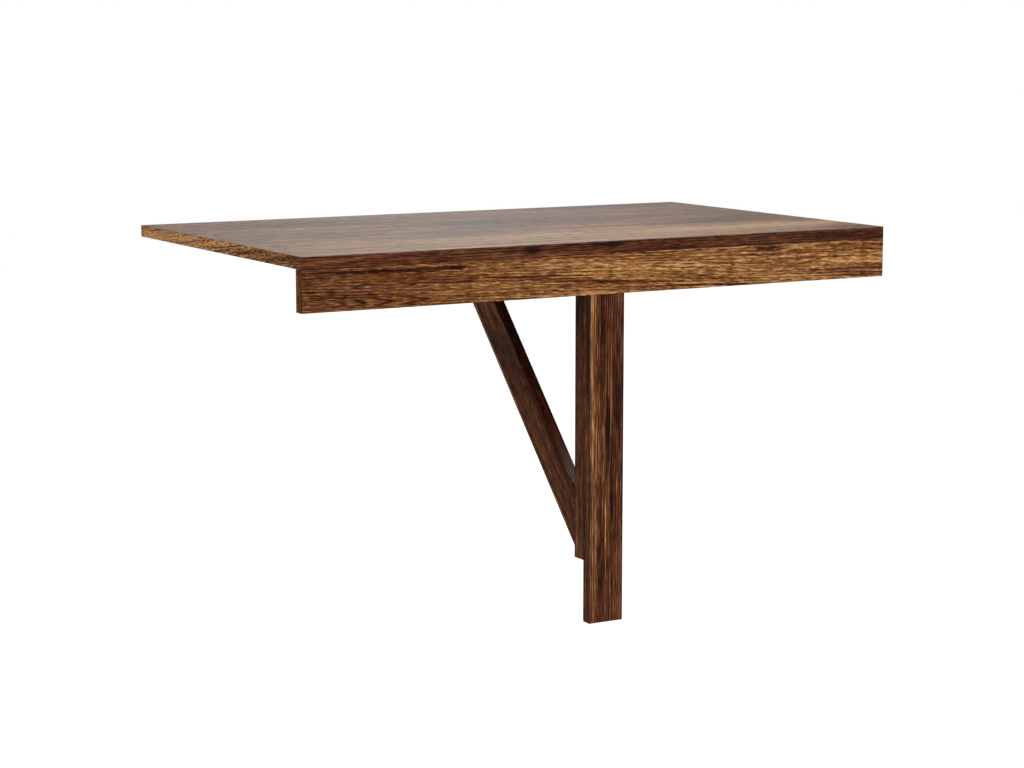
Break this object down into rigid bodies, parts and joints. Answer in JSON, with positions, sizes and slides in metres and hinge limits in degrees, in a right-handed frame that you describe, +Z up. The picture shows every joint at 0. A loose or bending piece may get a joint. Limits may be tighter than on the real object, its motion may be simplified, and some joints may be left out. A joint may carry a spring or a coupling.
{
  "type": "wall mounted drop leaf table",
  "caption": "Rectangular wall table of dark wood-grain board: a fixed strip on a wall rail, a hinged leaf and a triangular gate bracket that swings out from a wall post.",
  "frame": {"origin": "middle of the wall rail's wall face: half way along the table and half way up the rail", "axes": "+X along the wall, to the side that the bracket folds to; +Y away from the wall into the room; +Z up"},
  "size_m": [1, 0.6, 0.571],
  "materials": {
    "board": "satin wood-grain melamine on 18 mm board",
    "dowel": "plain beech",
    "hinge": "zinc plated, pressed",
    "pin": "drawn bright steel",
    "screw": "zinc plated",
    "glide": "dark brown moulded nylon"
  },
  "bodies": {
    "wall_frame": {"wall_rail": "board", "wall_post": "board", "fixed_shelf": "board", "shelf_dowels": "dowel", "post_dowels": "dowel", "leaf_hinge_shelf_screws": "screw", "bracket_hinge_post_screws": "screw", "leaf_hinge_left_fixed_plate": "hinge", "leaf_hinge_left_pin": "pin", "leaf_hinge_middle_fixed_plate": "hinge", "leaf_hinge_middle_pin": "pin", "leaf_hinge_right_fixed_plate": "hinge", "leaf_hinge_right_pin": "pin", "bracket_hinge_upper_fixed_plate": "hinge", "bracket_hinge_upper_pin": "pin", "bracket_hinge_lower_fixed_plate": "hinge", "bracket_hinge_lower_pin": "pin"},
    "leaf": {"drop_leaf": "board", "leaf_hinge_leaf_screws": "screw", "leaf_hinge_left_moving_plate": "hinge", "leaf_hinge_middle_moving_plate": "hinge", "leaf_hinge_right_moving_plate": "hinge"},
    "bracket": {"bracket_upright": "board", "bracket_arm": "board", "bracket_brace": "board", "arm_glide": "glide", "bracket_dowels": "dowel", "bracket_hinge_upright_screws": "screw", "bracket_hinge_upper_moving_plate": "hinge", "bracket_hinge_lower_moving_plate": "hinge"}
  },
  "joints": [
    {"name": "bracket_swing", "type": "hinge", "parent": "wall_frame", "child": "bracket", "pos_m": [0.0043, 0.0213, -0.2339], "axis": [0, 0, -1], "range_deg": [0, 90]},
    {"name": "leaf_hinge", "type": "hinge", "parent": "wall_frame", "child": "leaf", "pos_m": [0, 0.0426, 0.0267], "axis": [1, 0, 0], "range_deg": [0, 2]}
  ]
}
